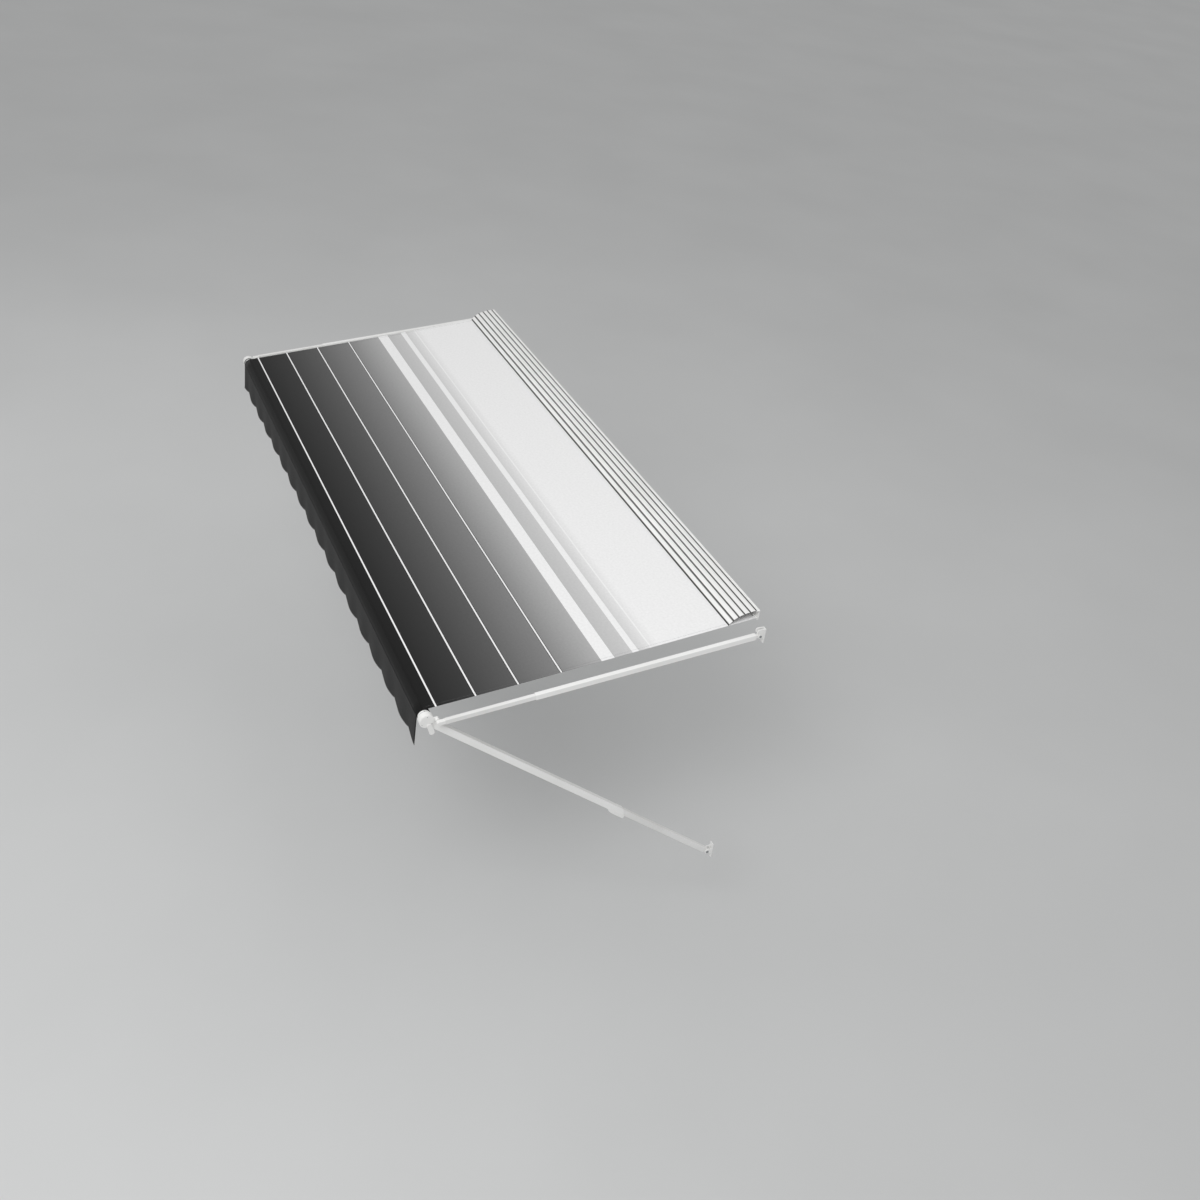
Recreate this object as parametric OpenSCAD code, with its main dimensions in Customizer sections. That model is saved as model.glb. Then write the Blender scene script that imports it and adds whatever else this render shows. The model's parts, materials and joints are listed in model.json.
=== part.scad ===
// Roll-out awning for a caravan wall, drawn open, in millimetres.
// X runs along the rail, +Y goes into the wall, +Z is up, and the wall face is y = 0.
// The origin is the centre of the rail's back face.

/* [Canopy] */
// Width of the cloth along the rail
canopy_w = 5380; // [3000:10:6000]
// Length of cloth from the rail to the roller
canopy_run = 2414; // [2000:1:2600]
// Fall of the open canopy below level
canopy_slope = 7; // [5:0.5:9]
// Thickness of the coated cloth
cloth_t = 1.6; // [1:0.1:2]
// Sag of the cloth in the middle of its run
cloth_sag = 10; // [2:1:25]
// Number of slices that the sagging cloth is drawn with
cloth_slices = 12; // [6:1:20]

/* [Valance] */
// Drop of the valance below the roller's axis
valance_drop = 238; // [150:2:280]
// Number of scallops along the valance
scallops = 17; // [9:1:21]
// Depth of each scallop
scallop_depth = 34; // [15:1:50]
// How far the hem of the valance waves outward
valance_wave = 9; // [3:1:16]

/* [Roller] */
// Outer diameter of the roller tube
tube_d = 83; // [76:1:90]
// Wall of the roller tube
tube_wall = 1.8; // [1.4:0.1:3]
// Bore of the rope grooves in the roller tube
groove_d = 7; // [6:0.2:8]
// Thickness of the cloth wound round the roller
wrap_t = 2.6; // [1.5:0.1:4]
// Diameter of the torsion rod
rod_d = 16; // [12:1:18]
// Length of the torsion spring
spring_len = 340; // [200:10:500]
// Number of ratchet teeth
ratchet_teeth = 20; // [12:1:30]
// Diameter of the ratchet wheel over its teeth
ratchet_d = 44; // [40:1:50]

/* [Arms] */
// Width of the outer arm along the rail
arm_w = 44; // [40:1:48]
// Depth of the outer arm
arm_depth = 50; // [44:1:56]
// Wall of the outer arm
arm_wall = 2.5; // [2:0.1:3.5]
// Length of the outer arm from the roller's axis
outer_arm_len = 1964; // [1800:1:1970]
// How much farther the underside of the outer arm runs at its slanted mouth
mouth_slant = 50; // [0:1:52]
// Length of the inner arm from the foot pin
inner_arm_len = 1450; // [1250:5:1600]
// Wall of the inner arm
inner_wall = 2.2; // [1.8:0.1:3]
// Diameter of the round head
head_d = 100; // [94:1:106]
// Length of the lift handle
handle_len = 175; // [120:5:200]

/* [Rafters] */
// Width of the outer rafter along the rail
rafter_w = 34; // [32:1:38]
// Depth of the outer rafter
rafter_depth = 42; // [38:1:48]
// Wall of the rafter tubes
rafter_wall = 2.2; // [1.8:0.1:3]
// Length of the outer rafter from its wall pin
rafter_outer_len = 1660; // [1400:5:1700]
// Length of the inner rafter tube
rafter_inner_len = 1000; // [800:5:1100]
// Distance from the roller's axis to the rafter's hook
hook_reach = 66; // [64:1:72]

/* [Wall fittings] */
// Height from the cloth slot down to the foot pin
foot_drop = 2180; // [2150:5:2300]
// Height from the cloth slot down to the rafter pin
rafter_drop = 70; // [60:2:160]
// Distance of the foot pin from the wall
foot_off = 45; // [44:1:55]
// Distance of the rafter pin from the wall
rafter_off = 35; // [33:1:42]
// Diameter of the foot pin
foot_pin_d = 16; // [12:1:18]
// Diameter of the rafter pin
rafter_pin_d = 12; // [10:1:14]
// Distance between the bolt holes of a foot bracket
foot_bolt_pitch = 104; // [96:2:120]
// Distance between the bolt holes of a rafter bracket
rafter_bolt_pitch = 88; // [84:2:100]
// Diameter of the bolt holes
bolt_hole_d = 9; // [7:0.5:10]
// Thickness of the bracket wall plates
plate_t = 6; // [5:0.5:8]
// Number of rail screws
rail_screws_n = 12; // [6:1:20]

/* [Shield] */
// Width of one slat between its hinges
slat_w = 46; // [40:1:50]
// Thickness of a slat
slat_t = 1.4; // [1:0.1:1.8]
// Crown of a slat
slat_crown = 3; // [1:0.5:4]
// Distance of the first hinge from the wall
shield_off = 23; // [20:1:28]

/* [Fits] */
// Running clearance of a pin in its bore
run_fit = 0.05; // [0.02:0.01:0.1]
// Gap between parts that slide or turn past each other
slide_gap = 0.8; // [0.6:0.1:0.9]
// Gap between a part and its seat on another part
seat_gap = 0.3; // [0.2:0.05:0.5]

/* [Hidden] */
$fn = 48;

white_paint = "#f2f2ee";
cast_grey = "#c9cac8";
steel = "#9b9ea1";
dark_cloth = "#242424";
mid_cloth = "#8a8a8a";
black_plastic = "#2b2b2b";

// Layers along X, from the cloth's edge outwards
half_cloth = canopy_w / 2;
tube_end = half_cloth + 12;
plug_flange = 4;
arm_in = tube_end + plug_flange + 9;
arm_out = arm_in + arm_w;
arm_mid = (arm_in + arm_out) / 2;
cover_t = 3.4;
lever_t = 6;
lever_in = arm_out + cover_t + slide_gap;
hook_in = lever_in + lever_t + slide_gap;
rafter_in = hook_in + 10.6;
rafter_mid = rafter_in + rafter_w / 2;

// The shield's slats, as slopes below level, and the rail that carries them
slat_falls = [canopy_slope, canopy_slope + 4, canopy_slope + 12, canopy_slope + 24, canopy_slope + 42];
slat_bead_r = slat_t / 2 + 1.9;
slat_socket_gap = 0.3;
slat_socket_r = slat_bead_r + slat_socket_gap + slat_t;
function reach(k) = k == 0 ? 0 : reach(k - 1) + slat_w * cos(slat_falls[k - 1]);
function fall(k) = k == 0 ? 0 : fall(k - 1) + slat_w * sin(slat_falls[k - 1]);

bead_r = 4.7;
bead_bore_r = bead_r + seat_gap;
bead_wall = 3;
slot_y = -(rail_t_back() + bead_bore_r + bead_wall) + 0.5;
function rail_t_back() = 3;
// Height of the cloth's middle above its slot at a distance out from the slot
function sag_at(t) = -4 * cloth_sag * t * (1 - t);
function cloth_drop(d) = d * tan(canopy_slope) - sag_at(d / (canopy_run * cos(canopy_slope)));
shield_tip_d = shield_off + reach(5) + slot_y;
shield_h = fall(5) - cloth_drop(shield_tip_d) + cloth_t / 2 + slat_bead_r + seat_gap;
rail_foot = bead_bore_r + bead_wall + 3;
rail_h = shield_h + rail_foot + 6;
slot_z = -rail_h / 2 + rail_foot;
hook_z = slot_z + shield_h;
rail_half = half_cloth + 8;

// Roller and arm geometry in the YZ plane
tube_r = tube_d / 2;
wrap_r = tube_r + seat_gap + wrap_t;
head_r = head_d / 2;
axis_off = wrap_r + seat_gap + cloth_t / 2;
roller_y = slot_y - canopy_run * cos(canopy_slope) + axis_off * sin(canopy_slope);
roller_z = slot_z - canopy_run * sin(canopy_slope) - axis_off * cos(canopy_slope);
foot_y = -foot_off;
foot_z = slot_z - foot_drop;
arm_len = norm([roller_y - foot_y, roller_z - foot_z]);
arm_ang = atan2(foot_y - roller_y, roller_z - foot_z);
rafter_y = -rafter_off;
rafter_z = slot_z - rafter_drop;
rafter_ang = atan2(rafter_y - roller_y, roller_z - rafter_z);
rafter_len = norm([roller_y - rafter_y, roller_z - rafter_z]) - hook_reach;

// Sizes inside the arms and rafters
inner_w = arm_w - 2 * arm_wall - 2 * slide_gap;
inner_depth = arm_depth - 2 * arm_wall - 2 * slide_gap;
rafter_in_w = rafter_w - 2 * rafter_wall - 2 * slide_gap;
rafter_in_depth = rafter_depth - 2 * rafter_wall - 2 * slide_gap;
neck_len = head_r + 20;
foot_eye_r = foot_pin_d / 2 + 10;
foot_eye_w = arm_w - 15;
foot_neck = foot_eye_r + 16;
rafter_eye_r = rafter_pin_d / 2 + 9;
rafter_eye_w = rafter_w - 15;
rafter_neck = rafter_eye_r + 17;
hook_pin_r = 6.5;
hook_boss_r = 14;
corner_r = 4;

// Head cup, ratchet, pawl and lever
cup_wall = 5;
cup_floor = 6;
ratchet_r = ratchet_d / 2;
ratchet_w = 8;
ratchet_in = arm_in + 3;
hub_r = rod_d / 2 + 5;
bush_r = rod_d / 2 + 5;
groove_off = tube_r - groove_d / 2 - 2;
groove_wall_r = groove_d / 2 + 2;
plug_r = groove_off - groove_wall_r - 0.4;
plug_len = 40;
rope_r = groove_d / 2 - seat_gap;
pawl_hub_r = 6;
pawl_off = ratchet_r + pawl_hub_r + 2.2;
shaft_r = 4.5;
lock_turn = 27;
lever_lean = 18;
lever_len = 56;
lever_r = 18;
lever_drop = 9;

module right() { children(); }
module left() { mirror([1, 0, 0]) children(); }

// Extrudes a YZ profile along X between two stations; a profile's x is world y, its y is world z
module along_x(x0, x1) {
    translate([x0, 0, 0]) rotate([90, 0, 90]) linear_extrude(height = x1 - x0) children();
}
module rod_x(x0, x1, r) { translate([x0, 0, 0]) rotate([0, 90, 0]) cylinder(h = x1 - x0, r = r); }
module at_roller() { translate([0, roller_y, roller_z]) children(); }
module on_arm_head() { at_roller() rotate([arm_ang, 0, 0]) children(); }
module on_arm_foot() { translate([0, foot_y, foot_z]) rotate([arm_ang, 0, 0]) children(); }
module at_lock() { at_roller() rotate([lock_turn, 0, 0]) translate([0, 0, -pawl_off]) children(); }
module on_rafter() { translate([0, rafter_y, rafter_z]) rotate([rafter_ang, 0, 0]) children(); }

module round_rect(w, d, r) {
    square([w - 2 * r, d], center = true);
    square([w, d - 2 * r], center = true);
    for (i = [-1, 1], j = [-1, 1]) translate([i * (w / 2 - r), j * (d / 2 - r)]) circle(r = r);
}
module tube_z(xc, z0, z1, w, d, wall) {
    translate([xc, 0, z0]) linear_extrude(height = z1 - z0) difference() {
        round_rect(w, d, corner_r);
        round_rect(w - 2 * wall, d - 2 * wall, corner_r - wall / 2);
    }
}
// Plug inside a tube of the given outer size
plug_gap = 0.4;
module spigot_z(xc, z0, z1, w, d, wall) {
    translate([xc, 0, z0]) linear_extrude(height = z1 - z0)
        round_rect(w - 2 * wall - plug_gap, d - 2 * wall - plug_gap, corner_r - wall / 2);
}
module block_z(xc, z0, z1, w, d) {
    translate([xc - w / 2, -d / 2, z0]) cube([w, d, z1 - z0]);
}

// Awning rail: wall flange, cloth slot below and hinge bead above
module awning_rail() {
    slot_turn = 90 + canopy_slope;
    color(white_paint) difference() {
        along_x(-rail_half, rail_half) difference() {
            union() {
                translate([-rail_t_back(), -rail_h / 2]) square([rail_t_back(), rail_h]);
                translate([slot_y, slot_z]) circle(r = bead_bore_r + bead_wall);
                translate([-shield_off, hook_z - slat_t / 2]) square([shield_off, slat_t]);
                translate([-shield_off, hook_z]) circle(r = slat_bead_r);
                translate([-rail_t_back() - 5, hook_z - 3]) square([6, 3]);
            }
            translate([slot_y, slot_z]) circle(r = bead_bore_r);
            translate([slot_y, slot_z]) rotate(slot_turn)
                translate([-(cloth_t / 2 + 0.7), 0]) square([cloth_t + 1.4, 20]);
        }
        rail_screw_places() rotate([90, 0, 0]) cylinder(h = 20, r = 2.6, center = true);
    }
}
module rail_screw_places() {
    pitch = (2 * rail_half - 160) / (rail_screws_n - 1);
    for (i = [0 : rail_screws_n - 1])
        translate([-rail_half + 80 + i * pitch, 0, (slot_z + hook_z) / 2]) children();
}
module rail_screws() {
    color(steel) rail_screw_places() {
        rotate([90, 0, 0]) translate([0, 0, -20]) cylinder(h = 20 + rail_t_back(), r = 2.5);
        rotate([90, 0, 0]) translate([0, 0, rail_t_back()]) cylinder(h = 2.6, r1 = 5, r2 = 3.4);
    }
}
module canopy_bead() {
    color(mid_cloth) translate([0, slot_y, slot_z]) rod_x(-half_cloth, half_cloth, bead_r);
}

// Canopy: one taut sheet with a slight sag, drawn as slices of a closed profile
function cloth_point(t, side) =
    let (d = t * canopy_run)
    [slot_y - d * cos(canopy_slope) - side * sin(canopy_slope) * cloth_t / 2,
     slot_z - d * sin(canopy_slope) + sag_at(t) + side * cos(canopy_slope) * cloth_t / 2];
cloth_start = (bead_r + 0.1) / canopy_run;
function cloth_t_at(i) = cloth_start + (1 - cloth_start) * i / cloth_slices;
module canopy() {
    over = [for (i = [0 : cloth_slices]) cloth_point(cloth_t_at(i), 1)];
    under = [for (i = [cloth_slices : -1 : 0]) cloth_point(cloth_t_at(i), -1)];
    color(mid_cloth) along_x(-half_cloth, half_cloth) polygon(concat(over, under));
}

// Cloth wound on the roller
module canopy_wrap() {
    color(dark_cloth) at_roller() along_x(-half_cloth, half_cloth) difference() {
        circle(r = wrap_r, $fn = 96);
        circle(r = wrap_r - wrap_t, $fn = 96);
    }
}

// Valance: a thin wavy strip with a scalloped hem, hung at the front of the roller.
// It starts and ends in the middle of a scallop, and each scallop bulges outward.
scallop_cols = 8;
valance_cols = scallops * scallop_cols;
valance_rows = 3;
valance_t = cloth_t;
valance_y = roller_y - wrap_r - 0.2;
function lobe_at(i) = (i + scallop_cols / 2) % scallop_cols / scallop_cols;
function hem_lift(i) = scallop_depth * (1 - sqrt(max(0, 1 - pow(2 * lobe_at(i) - 1, 2))));
function hem_z(i) = -valance_drop + hem_lift(i);
function wave_at(i) = (1 - cos(360 * lobe_at(i))) / 2;
function valance_point(i, j, side) =
    let (f = j / valance_rows)
    [-half_cloth + canopy_w * i / valance_cols,
     valance_y - side * valance_t - valance_wave * f * wave_at(i),
     roller_z + hem_z(i) * f];
function vid(i, j, side) = (i * (valance_rows + 1) + j) * 2 + side;
module valance() {
    n = valance_cols;
    m = valance_rows;
    points = [for (i = [0 : n], j = [0 : m], side = [0, 1]) valance_point(i, j, side)];
    back = [for (i = [0 : n - 1], j = [0 : m - 1]) each [
        [vid(i, j, 0), vid(i + 1, j, 0), vid(i + 1, j + 1, 0)],
        [vid(i, j, 0), vid(i + 1, j + 1, 0), vid(i, j + 1, 0)]]];
    front = [for (i = [0 : n - 1], j = [0 : m - 1]) each [
        [vid(i, j, 1), vid(i + 1, j + 1, 1), vid(i + 1, j, 1)],
        [vid(i, j, 1), vid(i, j + 1, 1), vid(i + 1, j + 1, 1)]]];
    rims = [for (i = [0 : n - 1]) each [
        [vid(i, 0, 0), vid(i, 0, 1), vid(i + 1, 0, 1)],
        [vid(i, 0, 0), vid(i + 1, 0, 1), vid(i + 1, 0, 0)],
        [vid(i, m, 0), vid(i + 1, m, 1), vid(i, m, 1)],
        [vid(i, m, 0), vid(i + 1, m, 0), vid(i + 1, m, 1)]]];
    sides = [for (j = [0 : m - 1]) each [
        [vid(0, j, 0), vid(0, j + 1, 1), vid(0, j, 1)],
        [vid(0, j, 0), vid(0, j + 1, 0), vid(0, j + 1, 1)],
        [vid(n, j, 0), vid(n, j, 1), vid(n, j + 1, 1)],
        [vid(n, j, 0), vid(n, j + 1, 1), vid(n, j + 1, 0)]]];
    color(dark_cloth) polyhedron(points, concat(back, front, rims, sides));
}

// Roller tube with three rope grooves
module roller_tube() {
    color(white_paint) at_roller() along_x(-tube_end, tube_end) difference() {
        union() {
            difference() {
                circle(r = tube_r, $fn = 96);
                circle(r = tube_r - tube_wall, $fn = 96);
            }
            for (k = [0 : 2]) rotate(120 * k + 90) translate([groove_off, 0]) circle(r = groove_wall_r);
        }
        for (k = [0 : 2]) rotate(120 * k + 90) {
            translate([groove_off, 0]) circle(r = groove_d / 2);
            translate([groove_off, -1.5]) square([20, 3]);
        }
    }
}
module groove_ropes() {
    color(black_plastic) at_roller() for (k = [0, 1]) rotate([120 * k, 0, 0])
        translate([0, 0, groove_off]) rod_x(-half_cloth, half_cloth, rope_r);
}
module tube_plug() {
    color(cast_grey) at_roller() difference() {
        union() {
            rod_x(tube_end - plug_len, tube_end + 1, plug_r);
            rod_x(tube_end, tube_end + plug_flange, tube_r);
            rod_x(tube_end, ratchet_in, hub_r + 1.5);
        }
        rod_x(tube_end - plug_len - 1, tube_end + plug_flange + 20, bush_r);
    }
}
module rod_bushes() {
    color(black_plastic) for (s = [0, 1]) mirror([s, 0, 0]) at_roller() difference() {
        rod_x(tube_end - plug_len, ratchet_in, bush_r);
        rod_x(tube_end - plug_len - 1, ratchet_in + 1, rod_d / 2 + run_fit);
    }
}
module spring_plugs() {
    x1 = spring_far() - seat_gap;
    color(cast_grey) for (s = [0, 1]) mirror([s, 0, 0]) at_roller() difference() {
        rod_x(x1 - 30, x1, plug_r);
        rod_x(x1 - 31, x1 + 1, rod_d / 2 + run_fit);
    }
}
function spring_far() = tube_end - plug_len - 20 - spring_len;
module torsion_rod() {
    color(steel) at_roller() rod_x(spring_far() - 50, arm_out - 3 - seat_gap, rod_d / 2);
}
module torsion_spring() {
    color(steel) at_roller() difference() {
        rod_x(spring_far(), spring_far() + spring_len, rod_d / 2 + 6);
        rod_x(spring_far() - 1, spring_far() + spring_len + 1, rod_d / 2 + 0.5);
    }
}
module ratchet_wheel() {
    step = 360 / ratchet_teeth;
    teeth = [for (i = [0 : ratchet_teeth - 1]) each [
        [ratchet_r * cos(i * step), ratchet_r * sin(i * step)],
        [(ratchet_r - 4) * cos(i * step + 1), (ratchet_r - 4) * sin(i * step + 1)]]];
    color(steel) at_roller() difference() {
        along_x(ratchet_in, ratchet_in + ratchet_w) polygon(teeth);
        rod_x(ratchet_in - 1, ratchet_in + ratchet_w + 1, rod_d / 2 + run_fit);
    }
}

// Round head on the outer arm: cup, neck, spigot and the hook seat for the rafter's pin
hook_turn = rafter_ang - arm_ang - 180;
module head_casting(with_lock) {
    color(white_paint) difference() {
        union() {
            on_arm_head() {
                rod_x(arm_in, arm_out, head_r);
                block_z(arm_mid, -neck_len, 0, arm_w, arm_depth);
                spigot_z(arm_mid, -neck_len - 60, -neck_len, arm_w, arm_depth, arm_wall);
                rotate([hook_turn, 0, 0]) {
                    block_z(arm_out - 6, 0, hook_reach, 12, 2 * hook_boss_r);
                    translate([0, 0, hook_reach]) rod_x(arm_out - 12, hook_in + 8, hook_boss_r);
                }
            }
        }
        difference() {
            at_roller() rod_x(arm_in - 1, arm_out - cup_floor, head_r - cup_wall);
            at_roller() rod_x(arm_out - cup_floor - 12, arm_out, rod_d / 2 + 5);
        }
        at_roller() rod_x(arm_in - 1, arm_out - 3, rod_d / 2 + run_fit);
        if (with_lock) at_lock() rod_x(arm_in, arm_out + 1, shaft_r + run_fit);
        at_roller() hook_slot();
    }
}
// The hook seat is open along the way that the rafter's pin drops out as the arm folds
module hook_slot() {
    slot_r = hook_pin_r + 0.5;
    exit_turn = 18;
    rotate([rafter_ang + 180, 0, 0]) translate([0, 0, hook_reach]) {
        rod_x(hook_in - 0.5, hook_in + 9, slot_r);
        rotate([180 - rafter_ang - exit_turn, 0, 0]) along_x(hook_in - 0.5, hook_in + 9)
            polygon([[-slot_r, 0], [slot_r, 0], [slot_r + 3, -30], [-slot_r - 3, -30]]);
    }
}
module head_cover(with_lock) {
    color(white_paint) difference() {
        cover_disc();
        if (with_lock) at_lock() rod_x(arm_out - 1, arm_out + 9, shaft_r + 0.5);
    }
}
module cover_disc() {
    at_roller() difference() {
        union() {
            rod_x(arm_out, arm_out + cover_t - 1.2, head_r - 2);
            translate([arm_out + cover_t - 1.2, 0, 0]) rotate([0, 90, 0])
                cylinder(h = 1.2, r1 = head_r - 2, r2 = head_r - 6);
        }
        cover_screw_places() rod_x(arm_out - 1, arm_out + 9, 3);
    }
}
module cover_screw_places() {
    for (a = [0, 120, 240]) rotate([a, 0, 0]) translate([0, 0, head_r - 12]) children();
}
module cover_screws() {
    color(steel) at_roller() cover_screw_places() {
        rod_x(arm_out, arm_out + cover_t, 2.9);
    }
}

// Outer arm with a slanted mouth and the two lugs of its lift handle
handle_pin_r = 3;
lug_drop = 7;
lug_y = -arm_depth / 2 - lug_drop;
mouth_z = -outer_arm_len - mouth_slant / 2;
pin_z = mouth_z + 12;
module outer_arm() {
    color(white_paint) on_arm_head() {
        difference() {
            tube_z(arm_mid, mouth_z, -neck_len, arm_w, arm_depth, arm_wall);
            along_x(arm_in - 1, arm_out + 1) polygon([[-arm_depth / 2, mouth_z],
                [arm_depth / 2 + 1, mouth_z + mouth_slant * (1 + 1 / arm_depth)],
                [arm_depth / 2 + 1, mouth_z - 1], [-arm_depth / 2, mouth_z - 1]]);
        }
        for (s = [-1, 1]) translate([arm_mid + s * 12 - 2, 0, pin_z]) difference() {
            union() {
                translate([0, lug_y, -6]) cube([4, lug_drop, 12]);
                translate([0, lug_y, 0]) rod_x(0, 4, 6);
            }
            translate([0, lug_y, 0]) rod_x(-1, 5, handle_pin_r);
        }
    }
}
module handle_pin() {
    color(steel) on_arm_head() translate([0, lug_y, pin_z])
        rod_x(arm_mid - 16, arm_mid + 16, handle_pin_r);
}
// Smooth curve through a list of points
function smooth(p, steps = 5) = [
    for (i = [0 : len(p) - 2], j = [0 : steps - 1])
        let (a = p[max(i - 1, 0)], b = p[i], c = p[i + 1], d = p[min(i + 2, len(p) - 1)], t = j / steps)
            b + t / 2 * (c - a) + t * t * (a - 2.5 * b + 2 * c - 0.5 * d)
                + t * t * t * (1.5 * (b - c) + (d - a) / 2),
    p[len(p) - 1]
];

// Scoop-shaped lift handle that hugs the underside of the arm at its mouth; its outline
// is given as heights over the plate at shares of its length
plate_y = lug_y - 6.5;
function scoop(outline, length) = smooth([for (p = outline) [plate_y + p[0], p[1] * length]]);
module lift_handle() {
    cheek_t = 2;
    half_w = arm_w / 2 + slide_gap / 2 + cheek_t;
    end_z = handle_len - 12;
    belly = scoop([[-2.5, -0.074], [-3.2, 0.18], [-3, 0.43], [-1.6, 0.67], [2.2, 0.86],
        [6.5, 0.955], [12, 1]], end_z);
    inside = scoop([[12.6, 0.99], [8.4, 0.95], [4.6, 0.86], [0.8, 0.67], [-0.4, 0.43],
        [-0.6, 0.18], [-0.1, -0.074]], end_z);
    brim = scoop([[19, 0.995], [26, 0.97], [29.5, 0.91], [28, 0.8], [22.5, 0.62], [21, 0.4],
        [25, 0.2], [29.5, 0.06], [27, -0.03], [18, -0.065], [7, -0.075]], end_z);
    color(white_paint) on_arm_head() translate([0, 0, pin_z]) difference() {
        union() {
            along_x(arm_mid - half_w, arm_mid + half_w) polygon(concat(belly, inside));
            for (s = [-1, 1]) along_x_at(arm_mid + s * (half_w - cheek_t / 2), cheek_t)
                polygon(concat(belly, brim));
            translate([0, lug_y, 0]) rod_x(arm_mid - 9.5, arm_mid + 9.5, 6);
            translate([arm_mid - 9.5, plate_y - 1, -6]) cube([19, 7.5, 12]);
        }
        translate([0, lug_y, 0]) rod_x(arm_mid - 10, arm_mid + 10, handle_pin_r + run_fit);
    }
}
module along_x_at(xc, t) { along_x(xc - t / 2, xc + t / 2) children(); }

// Inner arm and the foot that pins it to the wall bracket
module inner_arm() {
    color(cast_grey) on_arm_foot()
        tube_z(arm_mid, foot_neck, inner_arm_len, inner_w, inner_depth, inner_wall);
}
module arm_foot() {
    color(white_paint) on_arm_foot() difference() {
        union() {
            rod_x(arm_mid - foot_eye_w / 2, arm_mid + foot_eye_w / 2, foot_eye_r);
            block_z(arm_mid, 0, foot_neck, foot_eye_w, foot_eye_r * 1.6);
            spigot_z(arm_mid, foot_neck, foot_neck + 50, inner_w, inner_depth, inner_wall);
        }
        rod_x(arm_in, arm_out, foot_pin_d / 2 + run_fit);
    }
}

// Wall bracket: a bolted plate and two ears; z0 is the height of the ears' root above the pin
module wall_bracket(xc, w, eye_w, off, ear_r, root, pitch, pin_d, nose) {
    ear_t = (w - eye_w) / 2 - seat_gap;
    plate_h = pitch + 28;
    difference() {
        union() {
            translate([xc - w / 2, off - plate_t, -plate_h / 2]) cube([w, plate_t, plate_h]);
            for (s = [-1, 1]) along_x_at(xc + s * (w / 2 - ear_t / 2), ear_t) {
                circle(r = ear_r);
                polygon([[0, ear_r], [off - plate_t, root], [off - plate_t, -root], [0, -ear_r]]);
                if (nose) bracket_nose(off - plate_t, pitch / 2 + 14);
            }
        }
        rod_x(xc - w, xc + w, pin_d / 2);
        for (s = [-1, 1]) translate([xc, off, s * pitch / 2])
            rotate([90, 0, 0]) cylinder(h = 40, r = bolt_hole_d / 2, center = true);
    }
}
// Rounded nose that the rafter bracket has above its pin
module bracket_nose(back, top) {
    r = 18;
    translate([-12, top - r]) circle(r = r);
    polygon([[-12, top], [back, top], [back, 10], [2, 10], [-24, top - r - 13]]);
}
module bottom_bracket() {
    color(white_paint) translate([0, foot_y, foot_z])
        wall_bracket(arm_mid, arm_w, foot_eye_w, foot_off, foot_eye_r + 2, foot_eye_r + 10,
            foot_bolt_pitch, foot_pin_d, false);
}
module foot_pin() {
    color(steel) translate([0, foot_y, foot_z]) {
        rod_x(arm_in - 1, arm_out + 1, foot_pin_d / 2);
        rod_x(arm_out, arm_out + 3, foot_pin_d / 2 + 3);
    }
}
module top_bracket() {
    color(white_paint) translate([0, rafter_y, rafter_z])
        wall_bracket(rafter_mid, rafter_w, rafter_eye_w, rafter_off, rafter_eye_r + 1,
            rafter_eye_r + 7, rafter_bolt_pitch, rafter_pin_d, true);
}
module rafter_pin() {
    color(steel) translate([0, rafter_y, rafter_z]) {
        rod_x(rafter_in, rafter_in + rafter_w + 1, rafter_pin_d / 2);
        rod_x(rafter_in + rafter_w, rafter_in + rafter_w + 3, rafter_pin_d / 2 + 3);
    }
}

// Rafter: outer tube with its eye at the wall, inner tube with its hook pin at the roller
module rafter_outer() {
    color(white_paint) on_rafter()
        tube_z(rafter_mid, rafter_neck, rafter_outer_len, rafter_w, rafter_depth, rafter_wall);
}
module rafter_eye() {
    color(white_paint) on_rafter() difference() {
        union() {
            rod_x(rafter_mid - rafter_eye_w / 2, rafter_mid + rafter_eye_w / 2, rafter_eye_r);
            block_z(rafter_mid, 0, rafter_neck, rafter_eye_w, rafter_eye_r * 1.6);
            spigot_z(rafter_mid, rafter_neck, rafter_neck + 50, rafter_w, rafter_depth, rafter_wall);
        }
        rod_x(rafter_in - 1, rafter_in + rafter_w + 1, rafter_pin_d / 2 + run_fit);
    }
}
hook_neck = 40;
module rafter_inner() {
    color(cast_grey) on_rafter()
        tube_z(rafter_mid, rafter_len - hook_neck - rafter_inner_len, rafter_len - hook_neck,
            rafter_in_w, rafter_in_depth, rafter_wall);
}
module rafter_hook() {
    side = rafter_mid - rafter_in_w / 2;
    color(white_paint) on_rafter() {
        translate([0, 0, rafter_len]) {
            rod_x(side, side + rafter_in_w, hook_boss_r);
            rod_x(hook_in, side + 1, hook_pin_r);
        }
        block_z(rafter_mid, rafter_len - hook_neck, rafter_len, rafter_in_w, hook_boss_r * 1.8);
        spigot_z(rafter_mid, rafter_len - hook_neck - 50, rafter_len - hook_neck,
            rafter_in_w, rafter_in_depth, rafter_wall);
    }
}

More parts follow.
